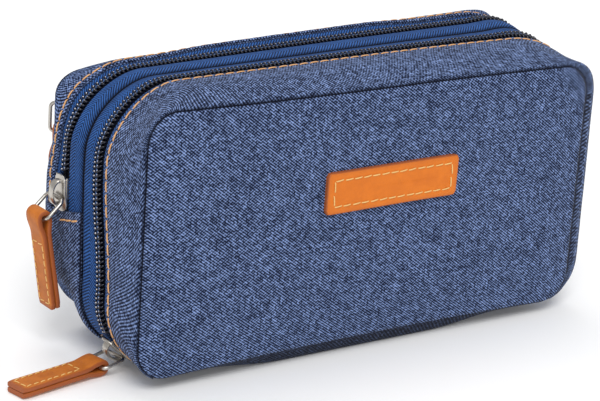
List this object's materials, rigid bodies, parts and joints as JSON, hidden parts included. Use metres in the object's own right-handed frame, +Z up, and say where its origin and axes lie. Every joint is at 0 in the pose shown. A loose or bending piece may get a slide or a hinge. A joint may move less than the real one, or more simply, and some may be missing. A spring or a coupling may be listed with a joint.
{
  "type": "glucose meter case",
  "caption": "Soft zipped carry case for a glucose meter and pen: padded front cover, divided middle, fold-down back flap with a flat zipped pocket, and leather zip pulls.",
  "frame": {"origin": "on the floor under the middle of the front zip, on the flat bottom", "axes": "+X along the case to its right end, +Y from the front to the back, +Z up"},
  "size_m": [0.2208, 0.0817, 0.1],
  "materials": {
    "denim": "blue melange woven canvas, matt",
    "foam": "grey sheet foam",
    "lining": "dark smooth lining cloth",
    "mesh": "fine black mesh",
    "elastic": "black woven elastic",
    "zip_tape": "blue herringbone tape",
    "zip_coil": "dark blue nylon coil, glossy",
    "leather": "tan leather, cut edges",
    "nickel": "satin nickel plate"
  },
  "bodies": {
    "case": {"front_bottom_gusset": "denim", "rear_lower_gusset": "denim", "front_tape_case": "zip_tape", "rear_tape_case": "zip_tape", "front_coil_case": "zip_coil", "rear_coil_case": "zip_coil", "divider_panel": "lining", "meter_band": "elastic", "pen_loops": "elastic", "slip_pocket": "lining", "rear_panel_lower": "denim", "rear_foam_lower": "foam", "rear_lining_lower": "lining"},
    "front_cover": {"front_panel": "denim", "front_foam": "foam", "front_lining": "lining", "front_gusset": "denim", "front_gusset_lining": "lining", "front_tape_cover": "zip_tape", "front_coil_cover": "zip_coil", "label_patch": "leather", "mesh_pocket": "mesh", "mesh_pocket_hem": "elastic"},
    "rear_flap": {"rear_panel_upper": "denim", "rear_foam_upper": "foam", "rear_lining_upper": "lining", "rear_upper_gusset": "denim", "rear_tape_flap": "zip_tape", "rear_coil_flap": "zip_coil", "pocket_tape_upper": "zip_tape", "pocket_tape_lower": "zip_tape", "pocket_coil_upper": "zip_coil", "pocket_coil_lower": "zip_coil"},
    "front_slider_body": {"front_slider": "nickel"},
    "front_ring_body": {"front_ring": "nickel"},
    "front_pull_body": {"front_pull": "leather"},
    "rear_slider_body": {"rear_slider": "nickel"},
    "rear_ring_body": {"rear_ring": "nickel"},
    "rear_pull_body": {"rear_pull": "leather"},
    "pocket_slider_body": {"pocket_slider": "nickel"},
    "pocket_ring_body": {"pocket_ring": "nickel"},
    "pocket_pull_body": {"pocket_pull": "leather"}
  },
  "joints": [
    {"name": "front_cover_open", "type": "hinge", "parent": "case", "child": "front_cover", "pos_m": [0, -0.029, 0.004], "axis": [1, 0, 0], "range_deg": [0, 90]},
    {"name": "rear_flap_open", "type": "hinge", "parent": "case", "child": "rear_flap", "pos_m": [0, 0.0348, 0.0485], "axis": [1, 0, 0], "range_deg": [-90, 0]},
    {"name": "front_slider_run", "type": "hinge", "parent": "case", "child": "front_slider_body", "pos_m": [-0.068, -0.0053, 0.026], "axis": [0, 1, 0], "range_deg": [0, 22]},
    {"name": "front_ring_swing", "type": "hinge", "parent": "front_slider_body", "child": "front_ring_body", "pos_m": [-0.0855, -0.0053, 0.00462], "axis": [-0.1022, 0.9945, -0.0217], "range_deg": [0, 30]},
    {"name": "front_pull_swing", "type": "hinge", "parent": "front_ring_body", "child": "front_pull_body", "pos_m": [-0.09377, -0.00619, 0.00286], "axis": [-0.1541, 0.9878, -0.0233], "range_deg": [0, 45]},
    {"name": "rear_slider_run", "type": "slide", "parent": "case", "child": "rear_slider_body", "axis": [0, 0, 1], "range_m": [0, 0.01]},
    {"name": "rear_ring_swing", "type": "hinge", "parent": "rear_slider_body", "child": "rear_ring_body", "pos_m": [-0.096, 0.0196, 0.0539], "axis": [0, 1, 0], "range_deg": [0, 90]},
    {"name": "rear_pull_swing", "type": "hinge", "parent": "rear_ring_body", "child": "rear_pull_body", "pos_m": [-0.10217, 0.0196, 0.04805], "axis": [0, 1, 0], "range_deg": [0, 95]},
    {"name": "pocket_slider_run", "type": "slide", "parent": "rear_flap", "child": "pocket_slider_body", "axis": [1, 0, 0], "range_m": [0, 0.01]},
    {"name": "pocket_ring_swing", "type": "hinge", "parent": "pocket_slider_body", "child": "pocket_ring_body", "pos_m": [-0.0833, 0.03591, 0.075], "axis": [0, 0, -1], "range_deg": [0, 45]},
    {"name": "pocket_pull_swing", "type": "hinge", "parent": "pocket_ring_body", "child": "pocket_pull_body", "pos_m": [-0.08665, 0.03852, 0.0699], "axis": [0.788, -0.6157, 0], "range_deg": [0, 90]}
  ],
  "couplings": [
    {"joint": "pocket_pull_swing", "follows": "rear_flap_open", "ratio": -1}
  ]
}
